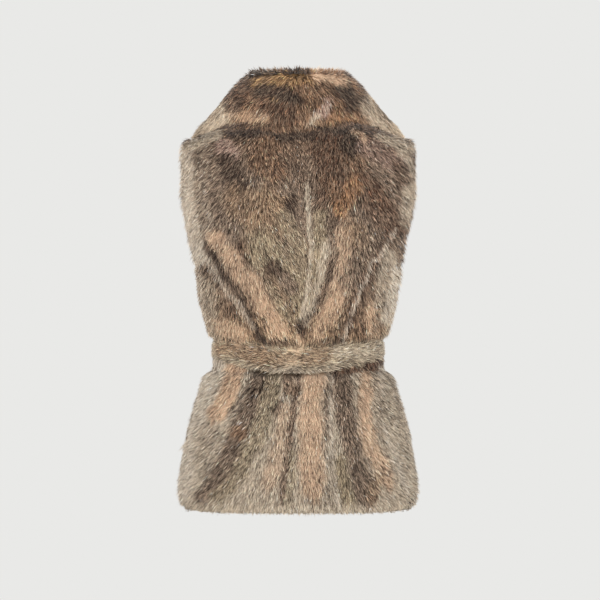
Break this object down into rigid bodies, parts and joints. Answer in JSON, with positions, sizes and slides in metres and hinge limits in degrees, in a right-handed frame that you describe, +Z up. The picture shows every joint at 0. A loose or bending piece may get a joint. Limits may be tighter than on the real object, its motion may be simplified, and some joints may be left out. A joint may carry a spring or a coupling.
{
  "type": "belted sleeveless faux fur vest",
  "caption": "Sleeveless faux fur vest with a wide shawl collar, drawn in at the waist by a fur belt, in its hollow worn shape.",
  "frame": {"origin": "midway between the two shoulder seams at their neck ends, where the vest rests on the wearer", "axes": "+Z up, +Y towards the vest's front, +X towards the right side of the picture of its back"},
  "size_m": [0.3706, 0.2867, 0.686],
  "materials": {
    "body_fur": "long pile faux fur in soft uneven stripes of greige, peach and dark brown, with paler tips and a woven back",
    "collar_fur": "long pile faux fur, browner and more mottled, brushed outwards and down",
    "belt_fur": "long pile faux fur in pale tan and olive beige, brushed along the belt"
  },
  "bodies": {
    "root": {"back_left": "body_fur", "back_right": "body_fur", "front_left": "body_fur", "front_right": "body_fur", "collar_left": "collar_fur", "collar_right": "collar_fur", "belt": "belt_fur"}
  },
  "joints": []
}
